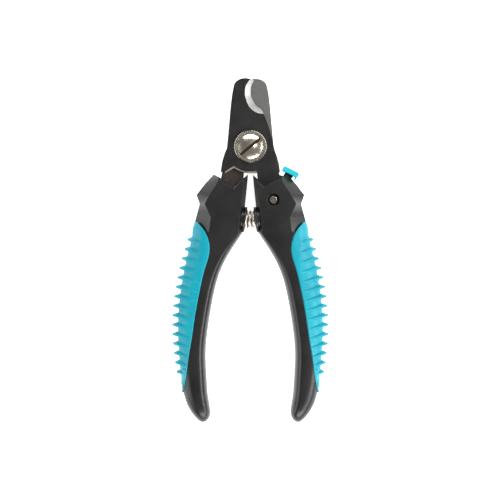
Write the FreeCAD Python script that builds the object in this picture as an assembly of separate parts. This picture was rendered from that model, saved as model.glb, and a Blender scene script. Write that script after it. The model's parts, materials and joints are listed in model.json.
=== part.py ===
import FreeCAD, Part
import math
import os

from FreeCAD import Vector

# Plier-type pet nail clipper: two hooked blades on one pivot screw, two-shell handles with ribbed soft grips,
# a coil return spring in two cups, and a pivoted lock lever with a thumb tab.
#
# Millimetres. The clipper lies on its back: +Z up, +Y towards the blade tips, +X towards the handle with the
# front blade. The origin is the pivot axis on the plane the clipper lies on. The left half is the right half
# turned over about the Y axis, apart from what the lock needs.

# ---- driving dimensions ----
handle_thickness = 13.5      # over the grips' ribs
handle_reach = 120.3         # pivot axis to the handle ends
blade_reach = 30.0           # pivot axis to the blade tips
blade_thickness = 2.5
blade_gap = 0.04             # between the blades' ground faces
grip_top = 32.8              # pivot axis down to where the grips begin

bevel_land = 0.35            # flat left under the ground bevel at the cutting edge
heel_chamfer = 0.6           # along the blade's heel, on its outer face
heel_r = 11.4                # blade's heel round the pivot

pivot_shank_r = 3.0
pivot_clearance = 0.05       # radial, shank in the front blade
pivot_head_r = 7.1           # over the knurled rim
pivot_rim_height = 1.3
pivot_dome_r = 5.3
pivot_dome_height = 1.2
slot_width = 1.2
slot_length = 11.2
slot_depth = 1.9
slot_angle = 39.0
groove_inner_r = 5.75        # ring groove between dome and rim
groove_width = 0.35
knurl_count = 64
knurl_depth = 0.7
washer_r = 5.6
washer_thickness = 0.5
nut_across_flats = 10.0

grip_wall = 2.2              # soft grip over the shell's core at the side
grip_face_wall = 1.3         # and at the front and back
grip_proud = 0.25            # grip above the shell
rib_face = 0.15              # ribs above the grip's faces
rib_count = 15
rib_first = 40.4             # pivot axis down to the first rib's tip
rib_pitch = 4.15
rib_height = 2.1             # tallest rib above the grip
rib_base = 3.0               # rib's thickness where it leaves the grip
rib_crest = 0.8              # rib's thickness at its tip
rib_tail = 8.6               # rib's length from tip to where it fades out
rib_tilt = 15.0              # outer end up

spring_axis_r = 31.8         # pivot axis to the spring's axis, which is an arc about the pivot
spring_coil_r = 3.75         # to the wire's centre
spring_wire_r = 0.45
spring_coils = 7
cup_mid_angle = 7.7          # of a cup round the pivot, from straight down
cup_depth = 4.6
cup_wall = 0.6
cup_rim_r = 5.6
cup_rim_thickness = 1.2
cup_floor = 0.8
cup_clearance = 0.2          # spring in cup

screw_x, screw_y = 10.05, -23.25   # handle screw, and the lock lever's axis
screw_shank_r = 1.3
screw_head_r = 1.95
screw_head_height = 1.6
screw_seat = 0.73            # shell left between the tang and the screw's head
screw_recess_r = 2.65
screw_clearance = 0.15       # radial, through shell and tang
screw_floor = 1.8            # shell left beyond the screw's tip
cross_width = 0.6            # cross recess in the head
cross_span = 2.3
cross_depth = 0.8

notch_chamfer = 0.8          # where a shell's notch for the blades meets its face
tang_clearance = 0.15        # round the tang in its pocket
pin_x, pin_y = 12.6, -37.0   # locating pin through the tang
pin_r = 1.25
pin_length = 7.4
pin_clearance = 0.05

lever_thickness = 2.1
lever_hub_r = 3.5
lever_post_r = 2.35          # moulded post the lever turns on
lever_clearance = 0.08
lever_side_gap = 0.12        # lever to the pocket's floor and to the tang
lever_reach = 11.4           # lever's axis to the catch's tip
lever_arm_width = 3.8
lever_arm_angle = 58.5       # of the arm from +X, at rest
lever_low, lever_high = -20.0, 6.0   # travel: released, locked
lever_free = 0.1             # catch to the rear blade's spur at rest
lever_washer_thickness = 0.4
lever_washer_r = 3.3
tab_inner_r = 13.4           # underside of the thumb tab, from the lever's axis
tab_thickness = 2.1
tab_length = 7.5
tab_slant = 5.0              # of the tab from square to the arm
tab_front = 3.6              # tab's reach in front of the parting plane
tab_back = 4.6               # and behind it
tab_socket = 1.4             # how far the arm goes into the tab

# ---- values worked out from those ----
mid = handle_thickness / 2                       # parting plane, and the plane the blades slide on
front_low = mid + blade_gap / 2
front_high = front_low + blade_thickness
rear_low = mid - blade_gap / 2 - blade_thickness
screw_head_low = front_high + screw_seat
stretch = (handle_reach - grip_top) / 87.5       # of the handle below its shoulder
blade_stretch = blade_reach / 30.0               # of the blade above its pivot
far = 300.0


# ---- helpers ----
def line(a, b):
    return Part.LineSegment(a, b).toShape()


def straight(points):
    return [line(a, b) for a, b in zip(points, points[1:])]


def smooth(points):
    curve = Part.BSplineCurve()
    curve.interpolate(points)
    return [curve.toShape()]


def arc(a, b, c):
    return [Part.Arc(a, b, c).toShape()]


def flat(points):
    return [Vector(x, y, 0) for x, y in points]


def prism(edges, low, high):
    """The solid between two heights over a closed outline drawn at z = 0."""
    face = Part.Face(Part.Wire(edges))
    face.translate(Vector(0, 0, low))
    return face.extrude(Vector(0, 0, high - low))


def polygon(points, low, high):
    corners = flat(points)
    return prism(straight(corners + corners[:1]), low, high)


def disc(r, low, high, x=0.0, y=0.0):
    return Part.makeCylinder(r, high - low, Vector(x, y, low))


def circles_above(shape, z):
    """The whole-circle edges of a shape above a height."""
    return [e for e in shape.Edges if len(e.Vertexes) == 1 and e.Curve.Center.z > z]


def turn_over(shape):
    """Right half to left half: half a turn about the Y axis at the parting plane."""
    copy = shape.copy()
    copy.rotate(Vector(0, 0, mid), Vector(0, 1, 0), 180)
    return copy


def swung(shape, degrees, x=0.0, y=0.0):
    """A copy swung about an upright axis."""
    copy = shape.copy()
    copy.rotate(Vector(x, y, 0), Vector(0, 0, 1), degrees)
    return copy


def polar(r, degrees, x=0.0, y=0.0):
    return (x + r * math.cos(math.radians(degrees)), y + r * math.sin(math.radians(degrees)))


def down(y):
    """A handle height: fixed at the shoulder, stretched below it."""
    return y if y > -grip_top else -grip_top + (y + grip_top) * stretch


def up(y):
    """A blade height: fixed at the pivot, stretched above it."""
    return y * blade_stretch if y > 0 else y


# ---- handle ----
# Cross-sections of the right handle, each at one height y:
# y, inner x, outer x, inner edge's width, outer edge's width, share of the full half thickness
neck_stations = [
    (-11.6, 1.0, 15.7, 1.4, 3.0, 1.0),
    (-16.2, 1.4, 19.9, 1.5, 5.5, 1.0),
    (-21.0, 1.9, 23.6, 1.6, 6.0, 1.0),
    (-25.0, 2.3, 22.2, 1.7, 2.3, 1.0),
    (-31.0, 2.8, 23.8, 1.8, 6.6, 1.0),
    (-37.2, 3.3, 25.6, 1.9, 7.6, 1.0),
]
handle_stations = [
    (-37.2, 3.3, 25.6, 1.9, 7.6, 1.0),
    (-42.5, 6.8, 26.7, 2.4, 8.2, 1.0),
    (-47.8, 10.1, 28.1, 3.0, 8.4, 1.0),
    (-54.8, 13.4, 29.6, 3.2, 8.2, 1.0),
    (-65.0, 16.2, 31.2, 3.3, 7.8, 1.0),
    (-77.0, 18.3, 32.1, 3.3, 7.4, 1.0),
    (-90.0, 19.6, 31.7, 3.4, 7.0, 1.0),
    (-101.0, 19.2, 30.6, 3.4, 6.4, 1.0),
    (-108.0, 18.7, 29.2, 3.4, 5.8, 0.995),
    (-113.0, 17.9, 27.6, 3.3, 5.4, 0.96),
    (-117.0, 17.6, 25.2, 2.8, 4.0, 0.84),
    (-119.4, 18.7, 23.0, 1.9, 2.2, 0.58),
    (-120.3, 19.9, 21.8, 0.9, 0.9, 0.36),
]
neck_band = 1.6              # upright band at the parting plane
handle_band = 0.7
grip_bottom = -107.4         # at the unstretched handle
# Where the grip ends on the faces of the shell.
grip_edge = [(23.3, -32.85), (20.3, -36.2), (18.2, -40.5), (17.6, -44.3), (18.1, -48.2), (19.8, -53.6),
             (21.9, -62.7), (24.1, -74.5), (25.5, -84.2), (26.9, -92.5), (27.9, -100.0), (29.4, -107.4)]


def quarter(a, corner, b, roundness):
    """An edge from a to b: straight at roundness 0, a quarter of an ellipse at 1."""
    chord = (b - a) * ((1 - roundness) / 3)
    curve = Part.BezierCurve()
    curve.setPoles([a, a + (corner - a) * (0.5523 * roundness) + chord,
                    b + (corner - b) * (0.5523 * roundness) - chord, b])
    return curve.toShape()


def section(station, roundness, band, grow, thin):
    """One closed cross-section; grow moves the outer side out, thin brings the faces in."""
    y, inner, outer, inner_width, outer_width, share = station
    half = mid * share - thin
    outer += grow(y)
    outer_width += max(0.0, grow(y)) * 1.6
    band = min(band, half * 0.3)
    y = down(y)

    def p(x, z):
        return Vector(x, y, mid + z)

    bend_in = [p(inner, band), p(inner, half), p(inner + inner_width, half)]
    bend_out = [p(outer - outer_width, half), p(outer, half), p(outer, band)]
    low_out = [p(outer, -band), p(outer, -half), p(outer - outer_width, -half)]
    low_in = [p(inner + inner_width, -half), p(inner, -half), p(inner, -band)]
    edges = [
        line(p(inner, -band), p(inner, band)),
        quarter(*bend_in, roundness),
        line(bend_in[2], bend_out[0]),
        quarter(*bend_out, roundness),
        line(bend_out[2], low_out[0]),
        quarter(*low_out, roundness),
        line(low_out[2], low_in[0]),
        quarter(*low_in, roundness),
    ]
    return Part.Wire(edges)


def handle_solid(grow, thin=0.0):
    """The right handle without its pockets: a faceted neck and a rounded handle, one above the other."""
    neck = Part.makeLoft([section(s, 0.0, neck_band, grow, thin) for s in neck_stations], True, True)
    lower = Part.makeLoft([section(s, 1.0, handle_band, grow, thin) for s in handle_stations], True, False)
    return neck, lower


def level(y):
    return 0.0


def proud(y):
    return grip_proud


def rib_grow(y):
    """The ribs' crest: tallest half way down the grip, low at its ends."""
    share = min(1.0, max(0.0, (y + grip_top) / (grip_bottom + grip_top)))
    return grip_proud + rib_height * math.sqrt(math.sin(math.pi * share))


def inset(y):
    return -grip_wall


def handle_pair(grow, thin):
    neck, lower = handle_solid(grow, thin)
    return neck.fuse(lower)


def slab(low, high):
    return Part.makeBox(far, far, high - low, Vector(-far / 2, -far / 2, low))


shell_thin = rib_face + grip_proud               # shell's faces below the ribs'
shell_top = handle_thickness - shell_thin


def grip_zone():
    """Everything on the grip's side of its edge on the shell, between the grip's ends."""
    edge = [Vector(x, down(y), 0) for x, y in grip_edge]
    top_corner = Vector(50, edge[0].y + 4.0, 0)
    low_corner = Vector(50, edge[-1].y, 0)
    edges = smooth(edge) + straight([edge[-1], low_corner, top_corner, edge[0]])
    return prism(edges, -20, handle_thickness + 20)


def rib_slab(i):
    """A thin wedge across the grip, from beyond the rib's tip to its tail."""
    y = down(-(rib_first + i * rib_pitch))
    x = crest_x(y)
    along = Vector(math.cos(math.radians(rib_tilt)), math.sin(math.radians(rib_tilt)), 0)
    across = Vector(-along.y, along.x, 0)
    tip = Vector(x, y, 0)
    shape = [(3.0, 0.2), (0.0, rib_crest / 2), (-rib_height, rib_base / 2), (-rib_tail, 0.15)]
    side = [tip + along * d + across * w for d, w in shape]
    other = [tip + along * d - across * w for d, w in reversed(shape)]
    return prism(straight(side + other + side[:1]), -20, handle_thickness + 20)


def crest_x(y):
    """Outer edge of the ribs' crest at a handle height."""
    heights = [(down(s[0]), s[2] + rib_grow(s[0])) for s in handle_stations]
    for (y1, x1), (y2, x2) in zip(heights, heights[1:]):
        if y2 <= y <= y1:
            return x1 + (x2 - x1) * (y - y1) / (y2 - y1)
    return heights[0][1]


# ---- blades ----
spur_outer = (-12.94, -10.9)
spur_tip = (-10.75, -11.36)
heel_top = (-7.24, -9.17)
back_edge = [(-6.97, 27.7), (-7.8, 24.2), (-8.3, 20.7), (-9.0, 13.6), (-9.6, 6.6), (-10.35, -0.8)]
spur_edge = [(-10.35, -0.8), (-11.6, -3.9), (-12.5, -7.4), spur_outer]
cutting_edge = [(1.62, 29.1), (0.7, 27.7), (0.18, 25.9), (0.09, 24.2), (0.22, 22.4), (0.96, 20.7),
                (1.93, 18.9), (3.17, 17.7), (4.68, 16.56), (5.6, 14.6)]
bevel_edge = [(0.13, 29.6), (-1.4, 27.7), (-2.24, 25.9), (-2.41, 24.2), (-2.37, 22.4), (-1.89, 20.7),
              (-1.1, 18.5), (0.6, 16.3), (2.6, 15.0), (4.4, 14.4)]
tang_right = [(5.6, 14.6), (8.95, 5.44), (10.35, -0.4), (11.75, -7.4), (12.68, -12.5), (14.2, -19.0),
              (16.2, -27.0)]
tang_foot = -42.0
tang_low = [(16.2, -27.0), (16.4, -40.0), (14.4, tang_foot), (11.2, tang_foot), (9.4, -40.0), (9.2, -28.0),
            (3.6, -20.0), (2.85, -11.1)]


def lifted(points):
    return [Vector(x, up(y), 0) for x, y in points]


def blade_blank():
    """The front blade's outline as a plate."""
    edges = smooth(lifted(cutting_edge))
    tip = [(1.62, 29.1), (0.13, 29.6), (-2.41, 30.0), (-5.04, 29.4), (-6.97, 27.7)]
    low = arc(Vector(2.85, -11.1, 0), Vector(-1.8, -heel_r, 0), Vector(*heel_top, 0))
    edges += smooth(lifted(tang_right)) + straight(flat(tang_low)) + low
    edges += straight(flat([heel_top, spur_tip, spur_outer]))
    edges += smooth(flat(spur_edge[::-1])) + smooth(lifted(back_edge[::-1]))
    edges += smooth(lifted(tip[::-1]))
    return prism(edges, front_low, front_high)


def bevel_cutter():
    """Takes the ground bevel off the front blade: full width at its face, nothing at the land."""
    land = front_low + bevel_land
    top = front_high + 0.2
    run = (top - land) / (front_high - land)
    sections = []
    for height, share in ((land, 0.0), (top, run)):
        rim = []
        for (x1, y1), (x2, y2) in zip(cutting_edge, bevel_edge):
            rim.append(Vector(x1 + (x2 - x1) * share, up(y1 + (y2 - y1) * share), height))
        outside = flat([(12, up(14.0)), (12, up(31.5)), (rim[0].x, up(31.5))])
        outside = [corner + Vector(0, 0, height) for corner in outside]
        edges = smooth(rim) + straight([rim[-1]] + outside + [rim[0]])
        sections.append(Part.Wire(edges))
    return Part.makeLoft(sections, True, True)


def on_heel(edge):
    """Whether an edge is the heel's, on the blade's outer face."""
    centre = edge.CenterOfMass
    beside_spur = spur_tip[0] < centre.x < tang_low[-1][0]
    below_top = -heel_r < centre.y < heel_top[1]
    return beside_spur and below_top and centre.z > front_high - 0.01


def front_blade():
    blade = blade_blank().cut(bevel_cutter())
    blade = blade.makeChamfer(heel_chamfer, [e for e in blade.Edges if on_heel(e)])
    holes = [
        disc(pivot_shank_r + pivot_clearance, front_low - 1, front_high + 1),
        disc(screw_shank_r + screw_clearance, front_low - 1, front_high + 1, screw_x, screw_y),
        disc(pin_r + pin_clearance, front_low - 1, front_high + 1, pin_x, pin_y),
    ]
    return blade.cut(holes)


# ---- shells ----
front_notch = [(5.7, -17.5), (16.2, -11.9), (26.0, -6.7), (26.0, 10.0), (-6.0, 10.0), (-6.0, -5.8)]
rear_notch = [(7.35, -18.0), (16.4, -11.8), (26.0, -5.2), (26.0, 10.0), (-6.0, 10.0), (-6.0, -5.4)]


def notch(outline, face, outwards):
    """Room for the blades at the top of a shell, chamfered where it meets the shell's outer face."""
    room = polygon(outline, mid - 1, far) if outwards > 0 else polygon(outline, -far, mid + 1)
    wires = []
    for beyond in (-notch_chamfer, 1.0):
        corners = [Vector(x, y - notch_chamfer - beyond, face + outwards * beyond) for x, y in outline]
        wires.append(Part.Wire(straight(corners + corners[:1])))
    return room.fuse(Part.makeLoft(wires, True, True))


def tang_pocket():
    """Room for the tang in the front shell."""
    c = tang_clearance
    right = flat([(x + c, y) for x, y in tang_right[3:]])
    low = [(x + c if x > 12 else x - c, y - c if y == tang_foot else y) for x, y in tang_low[1:]]
    left = flat(low + [(tang_low[-1][0] - c, tang_right[3][1])])
    return prism(smooth(right) + straight([right[-1]] + left + [right[0]]), mid - 1, front_high + 0.05)


def screw_hole():
    """The handle screw's recess, clearance hole and thread hole, from the front face down."""
    recess = disc(screw_recess_r, screw_head_low, shell_top + 1, screw_x, screw_y)
    clear = disc(screw_shank_r + screw_clearance, mid - 1, shell_top, screw_x, screw_y)
    thread = disc(screw_shank_r, screw_floor, mid + 0.5, screw_x, screw_y)
    return [recess, clear, thread]


def pin_hole():
    return disc(pin_r, mid - pin_length / 2, mid + pin_length / 2, pin_x, pin_y)


def on_spring(shape):
    """Swings something drawn at the foot of the spring's arc to the right-hand cup's place."""
    return swung(shape, cup_mid_angle)


cup_half = cup_depth / 2
cup_bore_r = spring_coil_r + spring_wire_r + cup_clearance


def along_x(r, x1, x2):
    return Part.makeCylinder(r, x2 - x1, Vector(x1, -spring_axis_r, mid), Vector(1, 0, 0))


def spring_cup():
    """A flanged cup that opens towards the other handle."""
    barrel = along_x(cup_bore_r + cup_wall, -cup_half, cup_half + cup_floor)
    rim = along_x(cup_rim_r, -cup_half, -cup_half + cup_rim_thickness)
    rim = rim.makeFillet(0.35, [e for e in rim.Edges if len(e.Vertexes) == 1])
    bore = along_x(cup_bore_r, -cup_half - 1, cup_half)
    peg = along_x(1.1, cup_half - 1.6, cup_half + 0.2)
    return on_spring(barrel.fuse(rim).cut(bore).fuse(peg))


def cup_seat():
    """Room for the cup in the shells, with its rim half sunk."""
    barrel = along_x(cup_bore_r + cup_wall, -cup_half - 6, cup_half + cup_floor)
    rim = along_x(cup_rim_r, -cup_half - 6, -cup_half + cup_rim_thickness)
    return on_spring(barrel.fuse(rim))


def screw_boss(low, high):
    return disc(lever_post_r, low, high, screw_x, screw_y)


lever_floor = mid - blade_gap / 2 - lever_thickness - 2 * lever_side_gap - lever_washer_thickness
lever_low_face = lever_floor + lever_washer_thickness + lever_side_gap


def sector(r, start, stop, low, high):
    """A wedge round the lever's axis."""
    corners = [(screw_x, screw_y)]
    corners += [polar(r, start + (stop - start) * i / 8, screw_x, screw_y) for i in range(9)]
    return polygon(corners, low, high)


def lever_pocket():
    """The room the lever sweeps in the rear shell, open through the shoulder."""
    start = lever_arm_angle + lever_low
    stop = catch_angle() + lever_high
    arm_way = sector(24, start - 16, stop + 14, lever_floor, mid + 1)
    root_way = sector(8.2, start - 50, stop + 50, lever_floor, mid + 1)
    hub = disc(lever_hub_r + 0.25, lever_floor, mid + 1, screw_x, screw_y)
    return hub.fuse([arm_way, root_way]).cut(screw_boss(lever_floor, mid + 1))


def shells():
    """The two right-hand shells, then the two left-hand ones."""
    recess, clear, thread = screw_hole()
    handle = handle_pair(level, shell_thin).cut(right_grip()).cut(cup_seat())
    front = handle.common(slab(mid, far)).cut(tang_pocket().fuse([pin_hole(), clear, recess]))
    front = front.cut(notch(front_notch, shell_top, 1))
    rear = handle.common(slab(-far, mid)).cut([notch(rear_notch, shell_thin, -1), thread, pin_hole()])
    return front, rear.cut(lever_pocket()), turn_over(rear), turn_over(front)


def right_grip():
    """Soft grip round the handle's outer side, with its ribs."""
    zone = grip_zone()
    crest = handle_pair(rib_grow, 0.0)
    ribs = [crest.common(rib_slab(i)) for i in range(rib_count)]
    core = handle_pair(inset, shell_thin + grip_face_wall)
    return handle_pair(proud, rib_face).common(zone).fuse(ribs).common(zone).cut(core)


# ---- pivot ----
def pivot_screw():
    """Knurled head with a domed, slotted top, and the shank both blades turn on."""
    base = front_high + blade_gap / 2
    rim = disc(pivot_head_r, base, base + pivot_rim_height)
    rim = rim.makeChamfer(0.3, circles_above(rim, base + 0.5))
    pitch = 2 * math.pi * pivot_head_r / knurl_count
    tooth_gap = [(pivot_head_r - knurl_depth, 0.0), (pivot_head_r + 0.3, -pitch * 0.42),
                 (pivot_head_r + 0.3, pitch * 0.42)]
    gap = polygon(tooth_gap, base - 1, base + pivot_rim_height + 1)
    rim = rim.cut([swung(gap, i * 360 / knurl_count) for i in range(knurl_count)])
    top = base + pivot_rim_height
    groove = disc(groove_inner_r + groove_width, top - 0.25, top + 1)
    groove = groove.cut(disc(groove_inner_r, top - 1, top + 2))
    dome_r = (pivot_dome_r ** 2 + pivot_dome_height ** 2) / (2 * pivot_dome_height)
    dome = Part.makeSphere(dome_r, Vector(0, 0, top + pivot_dome_height - dome_r))
    dome = dome.common(disc(pivot_dome_r, top - 0.2, top + pivot_dome_height + 1))
    slot = Part.makeBox(slot_length, slot_width, 9, Vector(-slot_length / 2, -slot_width / 2,
                                                           top + pivot_dome_height - slot_depth))
    slot.rotate(Vector(0, 0, 0), Vector(0, 0, 1), slot_angle)
    shank = disc(pivot_shank_r, nut_low, base)
    return rim.cut(groove).fuse([dome, shank]).cut(slot)


nut_low = 0.0
nut_high = rear_low - washer_thickness


def pivot_nut():
    """Hexagon nut, its outer corners chamfered, standing on the plane the clipper lies on."""
    corner_r = nut_across_flats / math.sqrt(3)
    hexagon = polygon([polar(corner_r, 30 + 60 * i) for i in range(6)], nut_low, nut_high)
    cone = Part.makeCone(nut_across_flats / 2, nut_across_flats / 2 + 1.6, 0.9, Vector(0, 0, nut_low))
    rest = disc(corner_r + 1, nut_low + 0.9, nut_high)
    return hexagon.common(cone.fuse(rest)).cut(disc(pivot_shank_r, nut_low - 1, nut_high + 1))


def pivot_washer():
    ring = disc(washer_r, nut_high, rear_low).cut(disc(pivot_shank_r + 0.1, nut_high - 1, rear_low + 1))
    split = Part.makeBox(5, 0.5, 5, Vector(washer_r - 4, -0.25, nut_high - 1))
    return ring.cut(split)


# ---- spring ----
def return_spring():
    """A coil round an arc about the pivot, from one cup's floor to the other's."""
    reach = cup_mid_angle + math.degrees((cup_half - spring_wire_r - 0.3) / spring_axis_r)
    steps = 10
    points = []
    for i in range(spring_coils * steps + 1):
        turn = 2 * math.pi * i / steps
        place = math.radians(-reach + 2 * reach * i / (spring_coils * steps))
        r = spring_axis_r + spring_coil_r * math.cos(turn)
        points.append(Vector(r * math.sin(place), -r * math.cos(place), mid + spring_coil_r * math.sin(turn)))
    curve = Part.BSplineCurve()
    curve.interpolate(points)
    path = Part.Wire(curve.toShape())
    start = curve.tangent(curve.FirstParameter)[0]
    ring = Part.Wire(Part.makeCircle(spring_wire_r, points[0], start))
    return path.makePipeShell([ring], True, True)


# ---- screws and pins ----
def handle_screw():
    """Pan head with a cross recess, and a plain core for its thread."""
    top = screw_head_low + screw_head_height
    head = disc(screw_head_r, screw_head_low, top, screw_x, screw_y)
    head = head.makeFillet(0.55, circles_above(head, screw_head_low + 0.5))
    shank = disc(screw_shank_r, screw_floor, screw_head_low, screw_x, screw_y)
    bars = []
    for angle in (20, 110):
        corner = Vector(screw_x - cross_span / 2, screw_y - cross_width / 2, top - cross_depth)
        bar = Part.makeBox(cross_span, cross_width, 3, corner)
        bars.append(swung(bar, angle, screw_x, screw_y))
    return head.fuse(shank).cut(bars)


def tang_pin():
    pin = disc(pin_r, mid - pin_length / 2, mid + pin_length / 2, pin_x, pin_y)
    return pin.makeChamfer(0.25, [e for e in pin.Edges if len(e.Vertexes) == 1])


# ---- lock ----
def catch_angle():
    """The catch's direction at rest: its tip is just outside the circle the spur's outer corner runs on."""
    spur_r = math.hypot(*spur_outer) + lever_free
    reach = math.hypot(screw_x, screw_y)
    cosine = (spur_r ** 2 - reach ** 2 - lever_reach ** 2) / (2 * reach * lever_reach)
    return math.degrees(math.acos(cosine)) + math.degrees(math.atan2(screw_y, screw_x))


def lock_lever():
    """Steel plate: hub, catch and the arm that carries the tab."""
    high = lever_low_face + lever_thickness
    hub = disc(lever_hub_r, lever_low_face, high, screw_x, screw_y)
    catch = catch_angle()
    first = lever_arm_angle + 4
    tip = [polar(lever_reach, first + (catch - first) * i / 2, screw_x, screw_y) for i in range(3)]
    edges = arc(*flat(tip))
    heel = polar(lever_hub_r * 0.8, catch + 62, screw_x, screw_y)
    inner = polar(lever_hub_r * 0.8, first - 62, screw_x, screw_y)
    edges += straight(flat([tip[2], heel, inner, tip[0]]))
    plate = prism(edges, lever_low_face, high)
    arm_end = tab_inner_r + tab_socket
    arm = Part.makeBox(arm_end, lever_arm_width, lever_thickness,
                       Vector(screw_x, screw_y - lever_arm_width / 2, lever_low_face))
    arm = swung(arm, lever_arm_angle, screw_x, screw_y)
    hole = disc(lever_post_r + lever_clearance, lever_low_face - 1, high + 1, screw_x, screw_y)
    return hub.fuse([plate, arm]).cut(hole)


def lock_tab():
    """Thumb tab moulded on the arm's end, cleared where the rear blade's spur passes."""
    inner, outer = tab_inner_r, tab_inner_r + tab_thickness
    half = tab_length / 2
    bar = Part.makeBox(outer - inner, tab_length, tab_front + tab_back,
                       Vector(screw_x + inner, screw_y - half, mid - tab_back))
    long_edges = [e for e in bar.Edges if abs(e.tangentAt(e.FirstParameter).z) > 0.9]
    bar = bar.makeFillet(0.7, long_edges)
    leg_corner = Vector(screw_x + inner - 1.1, screw_y - half + 0.25, mid - tab_back + 0.8)
    leg = Part.makeBox(1.6, 0.8, tab_front + tab_back - 1.6, leg_corner)
    relief_corner = Vector(screw_x + inner - 3, screw_y + half - 1.45, rear_low - 0.3)
    relief = Part.makeBox(9, 4, front_low - rear_low + 0.6, relief_corner)
    tab = swung(bar.fuse(leg), tab_slant, screw_x + inner + tab_thickness / 2, screw_y).cut(relief)
    return swung(tab, lever_arm_angle, screw_x, screw_y).cut(lock_lever())


def lock_washer():
    ring = disc(lever_washer_r, lever_floor, lever_floor + lever_washer_thickness, screw_x, screw_y)
    return ring.cut(disc(lever_post_r + 0.05, lever_floor - 1, mid, screw_x, screw_y))


def nodes():
    right_front, right_rear, left_front, left_rear = shells()
    grip = right_grip()
    blade = front_blade()
    cup = spring_cup()
    screw = handle_screw()
    pin = tang_pin()
    return {
        "front_blade": blade,
        "rear_blade": turn_over(blade),
        "pivot_screw": pivot_screw(),
        "pivot_washer": pivot_washer(),
        "pivot_nut": pivot_nut(),
        "right_front_shell": right_front,
        "right_rear_shell": right_rear,
        "left_front_shell": left_front,
        "left_rear_shell": left_rear,
        "right_grip": grip,
        "left_grip": turn_over(grip),
        "right_spring_cup": cup,
        "left_spring_cup": turn_over(cup),
        "return_spring": return_spring(),
        "right_handle_screw": screw,
        "left_handle_screw": turn_over(screw),
        "right_tang_pin": pin,
        "left_tang_pin": turn_over(pin),
        "lock_lever": lock_lever(),
        "lock_tab": lock_tab(),
        "lock_washer": lock_washer(),
    }


os.makedirs("parts", exist_ok=True)
for name, shape in nodes().items():
    shape.exportStep("parts/" + name + ".step")
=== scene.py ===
# %% [markdown]
# # A plier-type pet nail clipper
# Two black coated blades cross on one big slotted screw. Each blade's tang sits in a handle of two black
# shells, and a soft turquoise grip with fifteen fins wraps the outer side. A coil spring pushes the handles
# apart, and a small turquoise tab works the lock. Most pieces here are smooth copies of the CAD parts. The
# grips with their fins and the spring are made here, to the CAD's sizes.

import json
import math

import bmesh
import bpy
import numpy as np
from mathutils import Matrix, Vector


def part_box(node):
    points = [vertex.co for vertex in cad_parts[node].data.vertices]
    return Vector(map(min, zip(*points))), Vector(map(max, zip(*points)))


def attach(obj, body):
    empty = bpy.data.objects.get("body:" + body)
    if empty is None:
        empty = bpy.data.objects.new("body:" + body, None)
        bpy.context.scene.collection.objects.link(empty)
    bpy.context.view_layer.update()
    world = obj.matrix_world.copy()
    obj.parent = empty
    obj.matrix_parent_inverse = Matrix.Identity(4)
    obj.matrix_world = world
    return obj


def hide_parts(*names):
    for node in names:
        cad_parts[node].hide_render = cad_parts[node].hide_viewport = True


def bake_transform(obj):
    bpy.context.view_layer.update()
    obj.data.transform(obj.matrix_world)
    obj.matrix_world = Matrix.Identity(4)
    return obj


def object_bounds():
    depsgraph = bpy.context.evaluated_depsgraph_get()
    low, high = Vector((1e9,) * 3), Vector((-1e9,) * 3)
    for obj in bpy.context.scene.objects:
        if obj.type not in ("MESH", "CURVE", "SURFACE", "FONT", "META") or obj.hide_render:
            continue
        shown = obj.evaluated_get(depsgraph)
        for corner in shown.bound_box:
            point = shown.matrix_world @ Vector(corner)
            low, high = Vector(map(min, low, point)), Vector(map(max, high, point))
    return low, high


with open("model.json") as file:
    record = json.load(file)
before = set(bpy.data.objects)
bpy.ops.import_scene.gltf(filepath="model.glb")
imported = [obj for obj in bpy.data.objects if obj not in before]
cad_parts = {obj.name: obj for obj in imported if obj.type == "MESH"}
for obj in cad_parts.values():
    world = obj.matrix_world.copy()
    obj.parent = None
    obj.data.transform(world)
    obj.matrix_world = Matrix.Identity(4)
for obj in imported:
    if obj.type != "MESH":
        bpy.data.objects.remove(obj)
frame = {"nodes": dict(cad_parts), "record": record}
cad_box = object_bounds()
nodes = frame["nodes"]
MM = 0.001
print("CAD box in mm:", [[round(v / MM, 2) for v in corner] for corner in cad_box])

# %% [markdown]
# ## Small helpers
# Colours are picked as sRGB hex, as on a screen, but shaders work in linear light, so one function turns a hex
# value to linear. Another adds a node, sets its properties and fills its sockets, with a value or with a link.
# The rest make a material, mix two colours, change a range, make noise, and turn a height into bump.

# %% Helpers for colours and nodes
def linear(hex_colour):
    parts = [int(hex_colour[i:i + 2], 16) / 255 for i in (1, 3, 5)]
    return [c / 12.92 if c <= 0.04045 else ((c + 0.055) / 1.055) ** 2.4 for c in parts] + [1.0]


def add(tree, kind, sockets=None, **settings):
    node = tree.nodes.new(kind)
    for name, value in settings.items():
        setattr(node, name, value)
    for name, value in (sockets or {}).items():
        if isinstance(value, bpy.types.NodeSocket):
            tree.links.new(value, node.inputs[name])
        else:
            node.inputs[name].default_value = value
    return node


def new_material(name, **sockets):
    """A material with one Principled shader, its constants set on the shader's own sockets."""
    material = bpy.data.materials.new(name)
    material.use_nodes = True
    tree = material.node_tree
    tree.nodes.clear()
    shader = add(tree, "ShaderNodeBsdfPrincipled", {k.replace("_", " "): v for k, v in sockets.items()})
    add(tree, "ShaderNodeOutputMaterial", {"Surface": shader.outputs[0]})
    return material, tree, shader


def tint(tree, factor, low, high):
    """A colour between two hex colours, by a factor from 0 to 1."""
    mix = add(tree, "ShaderNodeMix", {0: factor}, data_type="RGBA")
    for socket, colour in ((6, low), (7, high)):
        if isinstance(colour, str):
            mix.inputs[socket].default_value = linear(colour)
        else:
            tree.links.new(colour, mix.inputs[socket])
    return mix.outputs[2]


def rerange(tree, value, low, high, to_low=0.0, to_high=1.0):
    return add(tree, "ShaderNodeMapRange", {0: value, 1: low, 2: high, 3: to_low, 4: to_high}).outputs[0]


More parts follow.
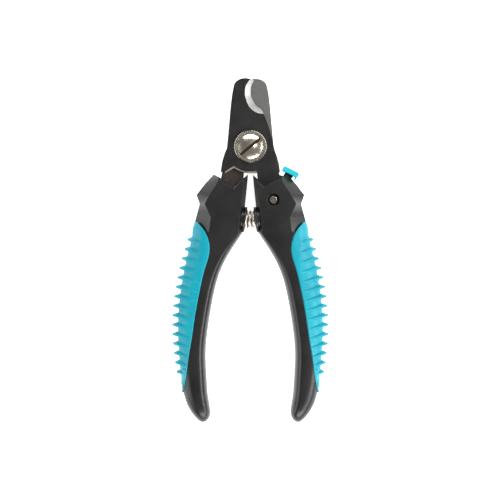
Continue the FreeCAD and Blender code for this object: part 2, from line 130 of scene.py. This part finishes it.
def grain(tree, size, stretch=(1, 1, 1), detail=3.0):
    """Noise whose grains are about `size` metres, longer along an axis whose stretch is under 1."""
    place = add(tree, "ShaderNodeTexCoord")
    turned = add(tree, "ShaderNodeMapping", {"Vector": place.outputs["Object"], "Scale": stretch})
    noise = add(tree, "ShaderNodeTexNoise",
                {"Vector": turned.outputs[0], "Scale": 1 / size, "Detail": detail, "Roughness": 0.55})
    return noise.outputs[0]


def roughen(tree, shader, height, depth, soft_edge=0.0):
    """Bump of a real depth in metres, over edges that are rounded a little, as moulded and ground edges are."""
    bump = add(tree, "ShaderNodeBump", {"Strength": 1.0, "Distance": depth, "Height": height})
    if soft_edge:
        edge = add(tree, "ShaderNodeBevel", {"Radius": soft_edge}, samples=6)
        tree.links.new(edge.outputs[0], bump.inputs["Normal"])
    tree.links.new(bump.outputs[0], shader.inputs["Normal"])


# %% [markdown]
# ## Black ABS shells
# The shells are injection-moulded ABS from a finely textured mould. Flat faces look nearly black, and sloping
# ones pick up grey from the studio, so the roughness is middling and the texture is a very fine bump. The real
# texture is near 0.1 mm, which is too fine to show, so the grains here are 0.35 mm.

# %% Moulded black ABS
black_abs, tree, shader = new_material("Moulded black ABS", Roughness=0.32, IOR=1.5)
cloud = grain(tree, 9 * MM, detail=2.0)
tree.links.new(tint(tree, rerange(tree, cloud, 0.35, 0.65), "#111111", "#1B1B1A"), shader.inputs["Base Color"])
fine = grain(tree, 0.35 * MM)
tree.links.new(rerange(tree, fine, 0.3, 0.7, 0.28, 0.4), shader.inputs["Roughness"])
roughen(tree, shader, fine, 0.006 * MM, 0.35 * MM)

# %% [markdown]
# The cups that hold the spring are the same plastic from a smoother mould, so they are a little glossier on
# average.

# %% Smooth black ABS for the spring cups
smooth_abs, tree, shader = new_material("Smooth black ABS", Roughness=0.3, IOR=1.5)
mottle = grain(tree, 2 * MM)
tree.links.new(tint(tree, mottle, "#131312", "#1E1E1D"), shader.inputs["Base Color"])
roughen(tree, shader, grain(tree, 0.5 * MM), 0.004 * MM, 0.2 * MM)

# %% [markdown]
# ## Turquoise grips and tab
# The grips are thermoplastic rubber moulded over the shells. It scatters some light inside, so a little
# subsurface takes the hardness off its shadows, and its skin is satin. Handling leaves slightly paler patches.

# %% Soft turquoise rubber
grip_rubber, tree, shader = new_material("Turquoise thermoplastic rubber", Roughness=0.46, IOR=1.42,
                                         Subsurface_Weight=0.1, Subsurface_Scale=0.6 * MM)
shader.inputs["Subsurface Radius"].default_value = (0.3, 0.8, 1.0)
patch = grain(tree, 14 * MM, detail=3.0)
skin = grain(tree, 0.4 * MM)
tree.links.new(tint(tree, rerange(tree, patch, 0.3, 0.7), "#0091A3", "#009CAD"), shader.inputs["Base Color"])
tree.links.new(rerange(tree, skin, 0.3, 0.7, 0.38, 0.46), shader.inputs["Roughness"])
roughen(tree, shader, skin, 0.008 * MM, 0.15 * MM)

# %% Turquoise ABS of the lock's tab
tab_abs, tree, shader = new_material("Turquoise ABS", Roughness=0.38, IOR=1.5)
patch = grain(tree, 5 * MM)
tree.links.new(tint(tree, patch, "#0AA9B8", "#16BAC7"), shader.inputs["Base Color"])
roughen(tree, shader, grain(tree, 0.4 * MM), 0.006 * MM, 0.25 * MM)

# %% [markdown]
# ## Coated and ground steel
# The blades are stamped, coated black, then ground: bare steel shows on the bevel behind each edge and on the
# rear blade's flat front above the pivot. Two faces slope: the bevel, well above the pivot, and the heel's
# chamfer, below it. So a face's tilt and its height together tell what was ground, and one material can hold
# both finishes. The coating is a satin black with fine specks and faint streaks along the blade. The heel's
# chamfer is painted paler, partly as rubbed coating and partly as a painted highlight.
# Grinding leaves lines across the blade.

# %% Blade steel, coated and ground
bevel_from = 12.0 * MM
heel_to = -5.0 * MM


def blade_steel(name, coating_and_reflection_low, coating_and_reflection_high, ground_face):
    """Black coated steel with a bare bevel; ground_face also bares the flat front above the pivot."""
    material, tree, shader = new_material(name, IOR=1.5)
    tilt = add(tree, "ShaderNodeNewGeometry").outputs["True Normal"]
    up = add(tree, "ShaderNodeSeparateXYZ", {0: tilt}).outputs[2]
    place = add(tree, "ShaderNodeTexCoord").outputs["Object"]
    height = add(tree, "ShaderNodeSeparateXYZ", {0: place}).outputs[1]
    lean = add(tree, "ShaderNodeMath", {0: up}, operation="ABSOLUTE").outputs[0]
    sloping = add(tree, "ShaderNodeMath", {0: lean, 1: 0.7, 2: 0.28}, operation="COMPARE").outputs[0]
    upper = add(tree, "ShaderNodeMath", {0: height, 1: bevel_from}, operation="GREATER_THAN").outputs[0]
    bevel = add(tree, "ShaderNodeMath", {0: sloping, 1: upper}, operation="MULTIPLY").outputs[0]
    specks = grain(tree, 0.45 * MM)
    clouds = grain(tree, 7 * MM)
    lines = grain(tree, 0.16 * MM, stretch=(0.03, 1, 1), detail=4.0)
    streaks = grain(tree, 0.5 * MM, stretch=(1, 0.12, 1), detail=2.0)
    patchy = add(tree, "ShaderNodeMath", {0: clouds, 1: streaks}, operation="MULTIPLY").outputs[0]
    coating_and_painted_light = tint(tree, rerange(tree, patchy, 0.15, 0.38), coating_and_reflection_low, coating_and_reflection_high)
    # The heel's chamfer is painted pale: partly rubbed coating, partly a painted highlight.
    heel = add(tree, "ShaderNodeMath", {0: height, 1: heel_to}, operation="LESS_THAN").outputs[0]
    heel_rub_and_highlight = add(tree, "ShaderNodeMath", {0: sloping, 1: heel}, operation="MULTIPLY").outputs[0]
    heel_rub_and_highlight_specked = add(tree, "ShaderNodeMath", {0: heel_rub_and_highlight, 1: rerange(tree, specks, 0.3, 0.6, 0.4, 1.0)},
               operation="MULTIPLY").outputs[0]
    coating_and_painted_light = tint(tree, heel_rub_and_highlight_specked, coating_and_painted_light, "#A3948A")
    bare = bevel
    if ground_face:
        flat = add(tree, "ShaderNodeMath", {0: up, 1: 1.0, 2: 0.005}, operation="COMPARE").outputs[0]
        above = rerange(tree, height, 2 * MM, 6 * MM)
        face = add(tree, "ShaderNodeMath", {0: flat, 1: above}, operation="MULTIPLY").outputs[0]
        bare = add(tree, "ShaderNodeMath", {0: bevel, 1: face}, operation="MAXIMUM").outputs[0]
    steel = tint(tree, rerange(tree, lines, 0.25, 0.75), "#B8B8B6", "#E4E4E1")
    if ground_face:
        steel = tint(tree, bevel, tint(tree, rerange(tree, lines, 0.3, 0.7), "#6F6F6E", "#8E8E8C"), steel)
    tree.links.new(tint(tree, bare, coating_and_painted_light, steel), shader.inputs["Base Color"])
    tree.links.new(bare, shader.inputs["Metallic"])
    satin = rerange(tree, specks, 0.3, 0.7, 0.3, 0.4)
    rough = add(tree, "ShaderNodeMix", {0: bare, 2: satin, 3: 0.42}).outputs[0]
    tree.links.new(rough, shader.inputs["Roughness"])
    relief = add(tree, "ShaderNodeMix", {0: bare, 2: specks, 3: lines}).outputs[0]
    roughen(tree, shader, relief, 0.008 * MM, 0.12 * MM)
    return material


front_steel = blade_steel("Black coated steel with ground bevel", "#0B0B0B", "#1E1E1D", False)
# The rear blade's coating colours are a lighter brown than the front blade's: a painted brown reflection on the
# same black coating.
rear_steel_painted_reflection = blade_steel("Black coated steel with ground face", "#3B3330", "#4F4541", True)
lever_steel = blade_steel("Black coated lever steel", "#1E1D1B", "#2E2C28", False)

# %% [markdown]
# ## Nickel and wire
# The pivot screw is turned steel with warm nickel plating. Turning leaves rings about the axis, so the bump
# reads the distance from the axis. The screw's slot gets painted shade, a dark brown band as wide as the slot.
# The band runs through everything with this material, so it crosses the nut underneath too. The
# spring is drawn wire, bright and a little brown.

# %% Turned nickel and spring wire
slot_half_width = 0.61 * MM
slot_reach = 5.7 * MM
slot_turned = math.radians(39)
handle_screw_x, handle_screw_y = 10.05 * MM, -23.25 * MM


def turned_nickel(name, centre, low="#D8CDB8", high="#FCF6E8", slot_turn=None):
    material, tree, shader = new_material(name, Metallic=1.0, Roughness=0.24)
    place = add(tree, "ShaderNodeTexCoord").outputs["Object"]
    from_axis = add(tree, "ShaderNodeVectorMath", {0: place, 1: centre}, operation="SUBTRACT").outputs[0]
    flat = add(tree, "ShaderNodeVectorMath", {0: from_axis, 1: (1, 1, 0)}, operation="MULTIPLY").outputs[0]
    radius = add(tree, "ShaderNodeVectorMath", {0: flat}, operation="LENGTH").outputs["Value"]
    rings = add(tree, "ShaderNodeTexNoise", {"W": radius, "Scale": 1 / (0.22 * MM), "Detail": 3.0},
                noise_dimensions="1D").outputs[0]
    stain = grain(tree, 3 * MM)
    colour = tint(tree, rerange(tree, stain, 0.3, 0.75), low, high)
    if slot_turn is not None:
        along = add(tree, "ShaderNodeMapping", {"Vector": flat, "Rotation": (0, 0, -slot_turn)}).outputs[0]
        aside = add(tree, "ShaderNodeMath", {0: add(tree, "ShaderNodeSeparateXYZ", {0: along}).outputs[1]},
                    operation="ABSOLUTE").outputs[0]
        beside = add(tree, "ShaderNodeMath", {0: aside, 1: slot_half_width}, operation="LESS_THAN").outputs[0]
        inside = add(tree, "ShaderNodeMath", {0: radius, 1: slot_reach}, operation="LESS_THAN").outputs[0]
        painted_slot_shade = add(tree, "ShaderNodeMath", {0: beside, 1: inside}, operation="MULTIPLY").outputs[0]
        # The slot's band is painted dark brown: painted shade in the slot's recess.
        colour = tint(tree, painted_slot_shade, colour, "#7A6048")
    tree.links.new(colour, shader.inputs["Base Color"])
    tree.links.new(rerange(tree, rings, 0.3, 0.7, 0.14, 0.22), shader.inputs["Roughness"])
    roughen(tree, shader, rings, 0.002 * MM, 0.03 * MM)
    return material


pivot_nickel = turned_nickel("Turned nickel plating", (0, 0, 0), slot_turn=slot_turned)
screw_nickel = turned_nickel("Nickel plated screw", (handle_screw_x, handle_screw_y, 0),
                             "#B4AA9E", "#DDD4C8")
wire_steel, tree, shader = new_material("Drawn spring wire", Metallic=1.0, Roughness=0.32)
tree.links.new(tint(tree, grain(tree, 1.5 * MM), "#C2B6A8", "#F0E7DB"), shader.inputs["Base Color"])
roughen(tree, shader, grain(tree, 0.3 * MM), 0.004 * MM)

# %% [markdown]
# ## Smooth copies of the CAD parts
# A CAD mesh comes as loose triangles. A copy with its corners merged can be shaded smooth across gentle bends
# while real corners stay sharp, so such a copy stands for most of the CAD parts. The pivot's washer, the lock's
# washer and the tangs' pins keep their CAD meshes and only get a material.

# %% Copy, merge and smooth
def smooth_copy(node, name, material, sharp=28.0, rolled=0.0):
    """A merged copy; edges sharper than `sharp` degrees stay hard, and `rolled` rounds them, in metres."""
    mesh = nodes[node].data.copy()
    mesh.name = name
    work = bmesh.new()
    work.from_mesh(mesh)
    bmesh.ops.remove_doubles(work, verts=work.verts, dist=0.002 * MM)
    bmesh.ops.dissolve_degenerate(work, edges=work.edges, dist=0.001 * MM)
    if rolled:
        bmesh.ops.dissolve_limit(work, angle_limit=math.radians(0.4), verts=work.verts, edges=work.edges)
    for face in work.faces:
        face.smooth = True
        face.material_index = 0
    for edge in work.edges:
        edge.smooth = edge.is_manifold and edge.calc_face_angle(0.0) < math.radians(sharp)
    work.to_mesh(mesh)
    work.free()
    mesh.materials.clear()
    mesh.materials.append(material)
    piece = bpy.data.objects.new(name, mesh)
    bpy.context.collection.objects.link(piece)
    if rolled:
        edge = piece.modifiers.new("rolled edges", "BEVEL")
        edge.width = rolled
        edge.segments = 2
        edge.limit_method = "ANGLE"
        edge.angle_limit = math.radians(sharp)
        edge.harden_normals = True
    return piece


body_of_node = {
    node: body for body, members in frame["record"]["behaviour"]["bodies"].items() for node in members
}


def stand_in(node, name, material, sharp=28.0, rolled=0.0):
    piece = smooth_copy(node, name, material, sharp, rolled)
    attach(piece, body_of_node[node])
    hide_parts(node)
    return piece


for node in ("right_front_shell", "right_rear_shell", "left_front_shell", "left_rear_shell"):
    piece = stand_in(node, node.replace("_shell", "_moulding"), black_abs, 16, 0.3 * MM)
    print(piece.name, len(piece.data.polygons), "faces")
for node in ("right_spring_cup", "left_spring_cup"):
    stand_in(node, node.replace("_spring_cup", "_cup_moulding"), smooth_abs)
left_screw_nickel = turned_nickel("Nickel plated screw, left", (-handle_screw_x, handle_screw_y, 0),
                                  "#B4AA9E", "#DDD4C8")
stand_in("lock_tab", "thumb_tab", tab_abs, rolled=0.2 * MM)
stand_in("lock_lever", "lock_plate", lever_steel)
stand_in("pivot_nut", "hexagon_nut", pivot_nickel)
stand_in("right_handle_screw", "right_cross_screw", screw_nickel)
stand_in("left_handle_screw", "left_cross_screw", left_screw_nickel)
for node, material in (("pivot_washer", pivot_nickel), ("lock_washer", wire_steel),
                       ("right_tang_pin", wire_steel), ("left_tang_pin", wire_steel)):
    nodes[node].material_slots[0].material = material

# %% [markdown]
# ## The two blades and the pivot screw
# Each blade is one stamped plate with its tang. The smooth copy keeps the CAD's real bevel, and the material
# finds it.

# %% Blades and pivot screw
stand_in("front_blade", "front_cutting_blade", front_steel, 20)
stand_in("rear_blade", "rear_cutting_blade", rear_steel_painted_reflection, 20)
stand_in("pivot_screw", "knurled_pivot_screw", pivot_nickel, 24)

# %% [markdown]
# ## The grip's surface
# A grip is a skin round the handle's outer side. Its cross-section is flat on the face, then a quarter of an
# ellipse down to the side, and the same again at the back. Two such skins are needed: one for the valleys and
# one for the tips of the fins. These are the handle's sections in mm: height, outer edge, width of the rounded
# edge, and the share of the full thickness.

# %% Sections of the handle, and the grip's edge on it
sections = np.array([
    (-32.8, 24.3, 6.9, 1.0), (-37.2, 25.6, 7.6, 1.0), (-42.5, 26.7, 8.2, 1.0), (-47.8, 28.1, 8.4, 1.0),
    (-54.8, 29.6, 8.2, 1.0), (-65.0, 31.2, 7.8, 1.0), (-77.0, 32.1, 7.4, 1.0), (-90.0, 31.7, 7.0, 1.0),
    (-101.0, 30.6, 6.4, 1.0), (-108.0, 29.2, 5.8, 0.995),
]) * (MM, MM, MM, 1)
grip_edge = np.array([
    (23.3, -32.85), (20.3, -36.2), (18.2, -40.5), (17.6, -44.3), (18.1, -48.2), (19.8, -53.6), (21.9, -62.7),
    (24.1, -74.5), (25.5, -84.2), (26.9, -92.5), (27.9, -100.0), (29.4, -107.4),
]) * MM
grip_low, grip_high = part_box("right_grip")
middle = (grip_low.z + grip_high.z) / 2
grip_top, grip_bottom = grip_edge[0, 1], grip_edge[-1, 1]
fin_height = 2.09 * MM
fin_face = 0.15 * MM
grip_proud = 0.25 * MM
side_band = 0.7 * MM
round_to_flat = 1.4
print("grip from", round(grip_top / MM, 1), "to", round(grip_bottom / MM, 1), "mm")


def smooth_curve(x, xs, ys):
    """A smooth line through points, by cubic Hermite pieces with the neighbours' slopes."""
    slope = np.gradient(ys, xs)
    i = np.clip(np.searchsorted(xs, x) - 1, 0, len(xs) - 2)
    step = xs[i + 1] - xs[i]
    t = np.clip((x - xs[i]) / step, 0, 1)
    return ((1 + 2 * t) * (1 - t) ** 2 * ys[i] + t * (1 - t) ** 2 * step * slope[i]
            + t ** 2 * (3 - 2 * t) * ys[i + 1] + t ** 2 * (t - 1) * step * slope[i + 1])


def side_shape(y, grow):
    """Outer edge, width of the rounded edge, and share of the thickness, with the skin moved out by grow."""
    rising = sections[::-1]
    outer, width, share = (smooth_curve(y, rising[:, 0], rising[:, k]) for k in (1, 2, 3))
    return outer + grow, width + grow * 1.6, share


def grip_section(y, u, grow, thin):
    """Points of one cross-section; u runs from -1, the back edge, over 0, the side, to 1, the front edge."""
    edge = smooth_curve(y, grip_edge[::-1, 1], grip_edge[::-1, 0])
    skin_outer, skin_width, _ = side_shape(y, grip_proud)
    flat_length = np.maximum(skin_outer - skin_width - edge, 0)
    round_length = round_to_flat * skin_width
    round_part = round_length / (round_length + flat_length)
    outer, width, share = side_shape(y, grow)
    flat_start = outer - width
    half = middle * share - thin
    side = np.abs(u)
    cut_angle = np.arcsin(np.clip((edge - flat_start) / width, 0, 1))
    join = flat_start + width * np.sin(cut_angle)
    angle = cut_angle + (math.pi / 2 - cut_angle) * np.clip(1 - side / round_part, 0, 1)
    on_flat = np.clip((side - round_part) / np.maximum(1 - round_part, 1e-6), 0, 1)
    x = flat_start + width * np.sin(angle) + (edge - join) * on_flat
    z = side_band + (half - side_band) * np.cos(angle)
    return np.stack([x, y * np.ones_like(x), middle + np.sign(u) * z], -1)


# %% [markdown]
# The skin is a fine grid of those points. Each point also stores three things for the fins: the way to the
# fin's tip surface, as a vector called `to crest`, how far in it lies from the skin's outer edge, called
# `inward`, and `off rim`, which is 0 at the skin's rim, where it meets the shell, and 1 a little way in.

# %% Grid of the grip's skin
rows, half_columns = 520, 34
heights = np.linspace(grip_top, grip_bottom, rows)
around = np.linspace(-1, 1, 2 * half_columns + 1)
Y, U = np.meshgrid(heights, around, indexing="ij")
down_share = np.clip((Y - grip_top) / (grip_bottom - grip_top), 0, 1)
swell = np.sqrt(np.sin(math.pi * down_share))
valley = grip_section(Y, U, grip_proud, fin_face)
crest = grip_section(Y, U, grip_proud + fin_height * swell, 0.0)
rolled_edge = 0.4 * MM
rim_share = 1 / 8
for skin_points in (valley, crest):
    skin_points[:, 0, 2] += rolled_edge
    skin_points[:, -1, 2] -= rolled_edge
outermost = valley[:, half_columns, 0]
inward = outermost[:, None] - valley[:, :, 0]
off_rim = np.clip((1 - np.abs(U)) / rim_share, 0, 1)


def grid_mesh(name, points):
    count, across = points.shape[:2]
    mesh = bpy.data.meshes.new(name)
    index = np.arange(count * across).reshape(count, across)
    faces = np.stack([index[:-1, :-1], index[:-1, 1:], index[1:, 1:], index[1:, :-1]], -1).reshape(-1, 4)
    mesh.from_pydata(points.reshape(-1, 3).tolist(), [], faces.tolist())
    mesh.shade_smooth()
    return mesh


skin = grid_mesh("grip_skin", valley)
skin.attributes.new("to crest", "FLOAT_VECTOR", "POINT").data.foreach_set("vector", (crest - valley).ravel())
skin.attributes.new("inward", "FLOAT", "POINT").data.foreach_set("value", inward.ravel())
skin.attributes.new("off rim", "FLOAT", "POINT").data.foreach_set("value", off_rim.ravel())
print("grip skin:", len(skin.polygons), "faces")

# %% [markdown]
# ## The fins, by Geometry Nodes
# Fifteen fins repeat down the grip, so a node tree raises them. A fin's centre line slopes down inwards, its
# width narrows to its tail, and the skin moves towards the tip surface by a bell-shaped amount across that line.
# Between the fins the skin is scooped a little, except at its rim and past the end fins. Changing the pitch or
# the tilt in the tree's inputs changes every fin at once.

# %% Node tree that raises the fins
def new_tree(name, inputs, geometry_in=True):
    tree = bpy.data.node_groups.new(name, "GeometryNodeTree")
    if geometry_in:
        tree.interface.new_socket("Geometry", in_out="INPUT", socket_type="NodeSocketGeometry")
    for label, value in inputs.items():
        kind = "NodeSocketInt" if isinstance(value, int) else "NodeSocketFloat"
        if isinstance(value, bpy.types.Material):
            kind = "NodeSocketMaterial"
        tree.interface.new_socket(label, in_out="INPUT", socket_type=kind).default_value = value
    tree.interface.new_socket("Geometry", in_out="OUTPUT", socket_type="NodeSocketGeometry")
    return tree, tree.nodes.new("NodeGroupInput").outputs


def calc(tree, operation, *values):
    """One math step, with numbers or links."""
    return add(tree, "ShaderNodeMath", dict(enumerate(values)), operation=operation).outputs[0]


def finish_tree(tree, geometry, material):
    real = add(tree, "GeometryNodeRealizeInstances", {0: geometry})
    painted = add(tree, "GeometryNodeSetMaterial", {"Geometry": real.outputs[0], "Material": material})
    add(tree, "NodeGroupOutput", {"Geometry": painted.outputs[0]})


def baked(name, tree, settings, mesh=None):
    """Runs a node tree on a mesh and returns the plain mesh it makes, as an object with no modifier."""
    holder = bpy.data.objects.new(name + "_holder", mesh or bpy.data.meshes.new(name))
    bpy.context.collection.objects.link(holder)
    modifier = holder.modifiers.new("nodes", "NODES")
    modifier.node_group = tree
    for item in tree.interface.items_tree:
        if item.in_out == "INPUT" and item.name in settings:
            modifier[item.identifier] = settings[item.name]
    holder.update_tag()
    bpy.context.view_layer.update()
    made = bpy.data.meshes.new_from_object(holder.evaluated_get(bpy.context.evaluated_depsgraph_get()))
    bpy.data.objects.remove(holder)
    piece = bpy.data.objects.new(name, made)
    bpy.context.collection.objects.link(piece)
    return piece


end_fin_share, share_per_fin = 0.09, 0.064
tail_width_share = 0.15
bell_power = 3.2
fin_tree, given = new_tree("Grip fins", {
    "Count": 15, "First": 40.4 * MM, "Pitch": 4.15 * MM, "Tilt": math.tan(math.radians(15)), "Width": 0.85 * MM,
    "Tail": 8.8 * MM, "Scoop": 0.6 * MM, "Material": grip_rubber,
})
place = add(fin_tree, "GeometryNodeInputPosition").outputs[0]
height = add(fin_tree, "ShaderNodeSeparateXYZ", {0: place}).outputs[1]
inward_in = add(fin_tree, "GeometryNodeInputNamedAttribute", {0: "inward"}, data_type="FLOAT").outputs[0]
crest_in = add(fin_tree, "GeometryNodeInputNamedAttribute", {0: "to crest"}, data_type="FLOAT_VECTOR").outputs[0]
level = calc(fin_tree, "ADD", height, calc(fin_tree, "MULTIPLY", inward_in, given["Tilt"]))
steps = calc(fin_tree, "DIVIDE", calc(fin_tree, "SUBTRACT", calc(fin_tree, "MULTIPLY", level, -1.0),
                                      given["First"]), given["Pitch"])
last = calc(fin_tree, "SUBTRACT", given["Count"], 1.0)
nearest = calc(fin_tree, "MINIMUM", calc(fin_tree, "MAXIMUM", calc(fin_tree, "ROUND", steps), 0.0), last)
across = calc(fin_tree, "MULTIPLY", calc(fin_tree, "SUBTRACT", steps, nearest), given["Pitch"])
place_share = calc(fin_tree, "MULTIPLY_ADD", nearest, share_per_fin, end_fin_share)
tail_share = calc(fin_tree, "SQRT", calc(fin_tree, "SINE", calc(fin_tree, "MULTIPLY", place_share, math.pi)))
tail = calc(fin_tree, "MULTIPLY", given["Tail"], tail_share)
left_of_tail = calc(fin_tree, "SUBTRACT", 1.0, calc(fin_tree, "DIVIDE", inward_in, tail))
taper = add(fin_tree, "ShaderNodeMath", {0: left_of_tail, 1: 0.0},
            operation="MAXIMUM", use_clamp=True).outputs[0]
width_share = calc(fin_tree, "MULTIPLY_ADD", taper, 1 - tail_width_share, tail_width_share)
width = calc(fin_tree, "MULTIPLY", given["Width"], width_share)
ratio = calc(fin_tree, "DIVIDE", across, width)
steep = calc(fin_tree, "POWER", calc(fin_tree, "ABSOLUTE", ratio), bell_power)
bell = calc(fin_tree, "EXPONENT", calc(fin_tree, "MULTIPLY", steep, -1.0))
fade = calc(fin_tree, "SQRT", taper)
amount = calc(fin_tree, "MULTIPLY", bell, fade)
out = add(fin_tree, "ShaderNodeVectorMath", {0: crest_in, "Scale": amount}, operation="SCALE").outputs[0]
off_rim_in = add(fin_tree, "GeometryNodeInputNamedAttribute", {0: "off rim"}, data_type="FLOAT").outputs[0]
past_end = calc(fin_tree, "ABSOLUTE", calc(fin_tree, "SUBTRACT", steps, nearest))
between = add(fin_tree, "ShaderNodeMapRange", {0: past_end, 1: 0.5, 2: 1.2, 3: 1.0, 4: 0.0}).outputs[0]
scooped = calc(fin_tree, "MULTIPLY", calc(fin_tree, "MULTIPLY", given["Scoop"], off_rim_in), between)
valley_share = calc(fin_tree, "MULTIPLY", calc(fin_tree, "SUBTRACT", bell, 1.0), fade)
hollow = calc(fin_tree, "MULTIPLY", valley_share, scooped)
normal = add(fin_tree, "GeometryNodeInputNormal").outputs[0]
sink = add(fin_tree, "ShaderNodeVectorMath", {0: normal, "Scale": hollow}, operation="SCALE").outputs[0]
offset = add(fin_tree, "ShaderNodeVectorMath", {0: out, 1: sink}, operation="ADD").outputs[0]
raised = add(fin_tree, "GeometryNodeSetPosition",
             {"Geometry": given["Geometry"], "Offset": offset}).outputs[0]
finish_tree(fin_tree, raised, given["Material"])

# %% [markdown]
# The skin gets its wall by Solidify, inwards. The left grip is the right one given half a turn about the Y axis,
# at mid-thickness. A turn keeps the faces pointing outwards, so none has to be flipped.

# %% Both grips
grip_wall = 0.7 * MM


def turned(mesh):
    """The left twin of a mesh of the right half, with its faces still pointing outwards."""
    twin = mesh.copy()
    for vertex in twin.vertices:
        vertex.co = (-vertex.co.x, vertex.co.y, 2 * middle - vertex.co.z)
    return twin


right_skin = baked("right_finned_grip", fin_tree, {}, skin)
left_skin = bpy.data.objects.new("left_finned_grip", turned(right_skin.data))
bpy.context.collection.objects.link(left_skin)
for piece, node in ((right_skin, "right_grip"), (left_skin, "left_grip")):
    wall = piece.modifiers.new("wall", "SOLIDIFY")
    wall.thickness = grip_wall
    wall.offset = -1.0
    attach(piece, body_of_node[node])
    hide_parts(node)
    print(piece.name, len(piece.data.polygons), "faces")

# %% [markdown]
# ## The return spring
# A coil is a point that turns round an axis while it moves along it. Here the axis is an arc about the pivot,
# so the spring stays between the handles as they swing. Its tree places the points of a line by math and sweeps
# a circle.

# %% Node tree of the spring
wire_sides = 14
spring_tree, given = new_tree("Coil on an arc", {
    "Arc radius": 31.8 * MM, "Coil radius": 3.75 * MM, "Wire radius": 0.5 * MM, "Coils": 7, "Steps": 40,
    "Reach": math.radians(10.5), "Middle": middle, "Material": wire_steel,
}, geometry_in=False)
total = calc(spring_tree, "MULTIPLY", given["Coils"], given["Steps"])
line = add(spring_tree, "GeometryNodeCurvePrimitiveLine").outputs[0]
fine_line = add(spring_tree, "GeometryNodeResampleCurve",
                {"Curve": line, "Count": calc(spring_tree, "ADD", total, 1.0)}).outputs[0]
index = add(spring_tree, "GeometryNodeInputIndex").outputs[0]
turn = calc(spring_tree, "MULTIPLY", calc(spring_tree, "DIVIDE", index, given["Steps"]), 2 * math.pi)
share = calc(spring_tree, "DIVIDE", index, total)
swing = calc(spring_tree, "MULTIPLY", calc(spring_tree, "MULTIPLY_ADD", share, 2.0, -1.0), given["Reach"])
radius = calc(spring_tree, "ADD", given["Arc radius"],
              calc(spring_tree, "MULTIPLY", given["Coil radius"], calc(spring_tree, "COSINE", turn)))
down = calc(spring_tree, "MULTIPLY", radius, calc(spring_tree, "COSINE", swing))
where = add(spring_tree, "ShaderNodeCombineXYZ", {
    0: calc(spring_tree, "MULTIPLY", radius, calc(spring_tree, "SINE", swing)),
    1: calc(spring_tree, "MULTIPLY", down, -1.0),
    2: calc(spring_tree, "ADD", given["Middle"],
            calc(spring_tree, "MULTIPLY", given["Coil radius"], calc(spring_tree, "SINE", turn))),
}).outputs[0]
coil = add(spring_tree, "GeometryNodeSetPosition", {"Geometry": fine_line, "Position": where}).outputs[0]
ring = add(spring_tree, "GeometryNodeCurvePrimitiveCircle",
           {"Resolution": wire_sides, "Radius": given["Wire radius"]}).outputs[0]
wire = add(spring_tree, "GeometryNodeCurveToMesh",
           {"Curve": coil, "Profile Curve": ring, "Fill Caps": True}).outputs[0]
smooth_wire = add(spring_tree, "GeometryNodeSetShadeSmooth", {"Geometry": wire}).outputs[0]
finish_tree(spring_tree, smooth_wire, given["Material"])

# %% Spring between the two handles
spring = baked("coiled_return_spring", spring_tree, {})
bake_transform(spring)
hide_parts("return_spring")
print("spring:", len(spring.data.polygons), "faces")

# %% [markdown]
# ## Floor, light and camera
# The clipper lies on a white sweep that glows a little, as a light table does. There are five lights: softboxes
# on the right, at the top, on the left and near the handles' ends, and a small dim fill high above, a little to
# the right. The four large ones stand aside, so flat black faces reflect little and stay dark.

# %% White floor
floor_paint, tree, shader = new_material("White paper sweep", Roughness=0.9, Emission_Strength=0.9)
tree.links.new(tint(tree, grain(tree, 30 * MM), "#F4F4F4", "#FAFAFA"), shader.inputs["Base Color"])
shader.inputs["Emission Color"].default_value = (1, 1, 1, 1)
floor_mesh = bpy.data.meshes.new("white_floor")
floor_half = 3.0
floor_corners = [(x * floor_half, y * floor_half, 0) for x, y in ((-1, -1), (1, -1), (1, 1), (-1, 1))]
floor_mesh.from_pydata(floor_corners, [], [(0, 1, 2, 3)])
floor = bpy.data.objects.new("white_floor", floor_mesh)
floor.location.z = cad_box[0].z - 0.1 * MM
floor_mesh.materials.append(floor_paint)
bpy.context.collection.objects.link(floor)

# %% Studio lights
def softbox(name, at, towards, size, watts, colour="#FFFFFF"):
    light = bpy.data.lights.new(name, "AREA")
    light.shape = "RECTANGLE"
    light.size, light.size_y = size
    light.energy = watts
    light.color = linear(colour)[:3]
    lamp = bpy.data.objects.new(name, light)
    lamp.location = at
    lamp.rotation_mode = "QUATERNION"
    lamp.rotation_quaternion = (Vector(at) - Vector(towards)).to_track_quat("Z", "Y")
    bpy.context.collection.objects.link(lamp)


look_at = (0.0, -45 * MM, middle)
world_strength = 0.18
softbox("right_softbox", (0.64, -0.08, 0.4), look_at, (0.75, 0.26), 4.4)
softbox("top_softbox", (0.05, 0.66, 0.55), look_at, (0.9, 0.35), 3.8)
softbox("left_softbox", (-0.75, -0.1, 0.3), look_at, (0.7, 0.5), 3.2)
softbox("near_softbox", (0.2, -0.7, 0.5), look_at, (0.8, 0.45), 7.5)
softbox("overhead_fill", (0.3, 0.15, 0.9), look_at, (0.12, 0.12), 1.2)

world = bpy.data.worlds.new("studio")
world.use_nodes = True
world.node_tree.nodes["Background"].inputs["Color"].default_value = (1, 1, 1, 1)
world.node_tree.nodes["Background"].inputs["Strength"].default_value = world_strength
bpy.context.scene.world = world
bpy.context.scene.view_settings.view_transform = "Standard"

# %% Camera straight above
view_width = 219.3 * MM
lens, sensor = 100.0, 36.0
camera = bpy.data.cameras.new("overhead")
camera.lens = lens
camera.sensor_width = sensor
camera_object = bpy.data.objects.new("overhead", camera)
camera_object.location = (-0.2 * MM, -45.1 * MM, middle + view_width * lens / sensor)
camera.clip_start, camera.clip_end = 0.01, 20.0
bpy.context.collection.objects.link(camera_object)
bpy.context.scene.camera = camera_object
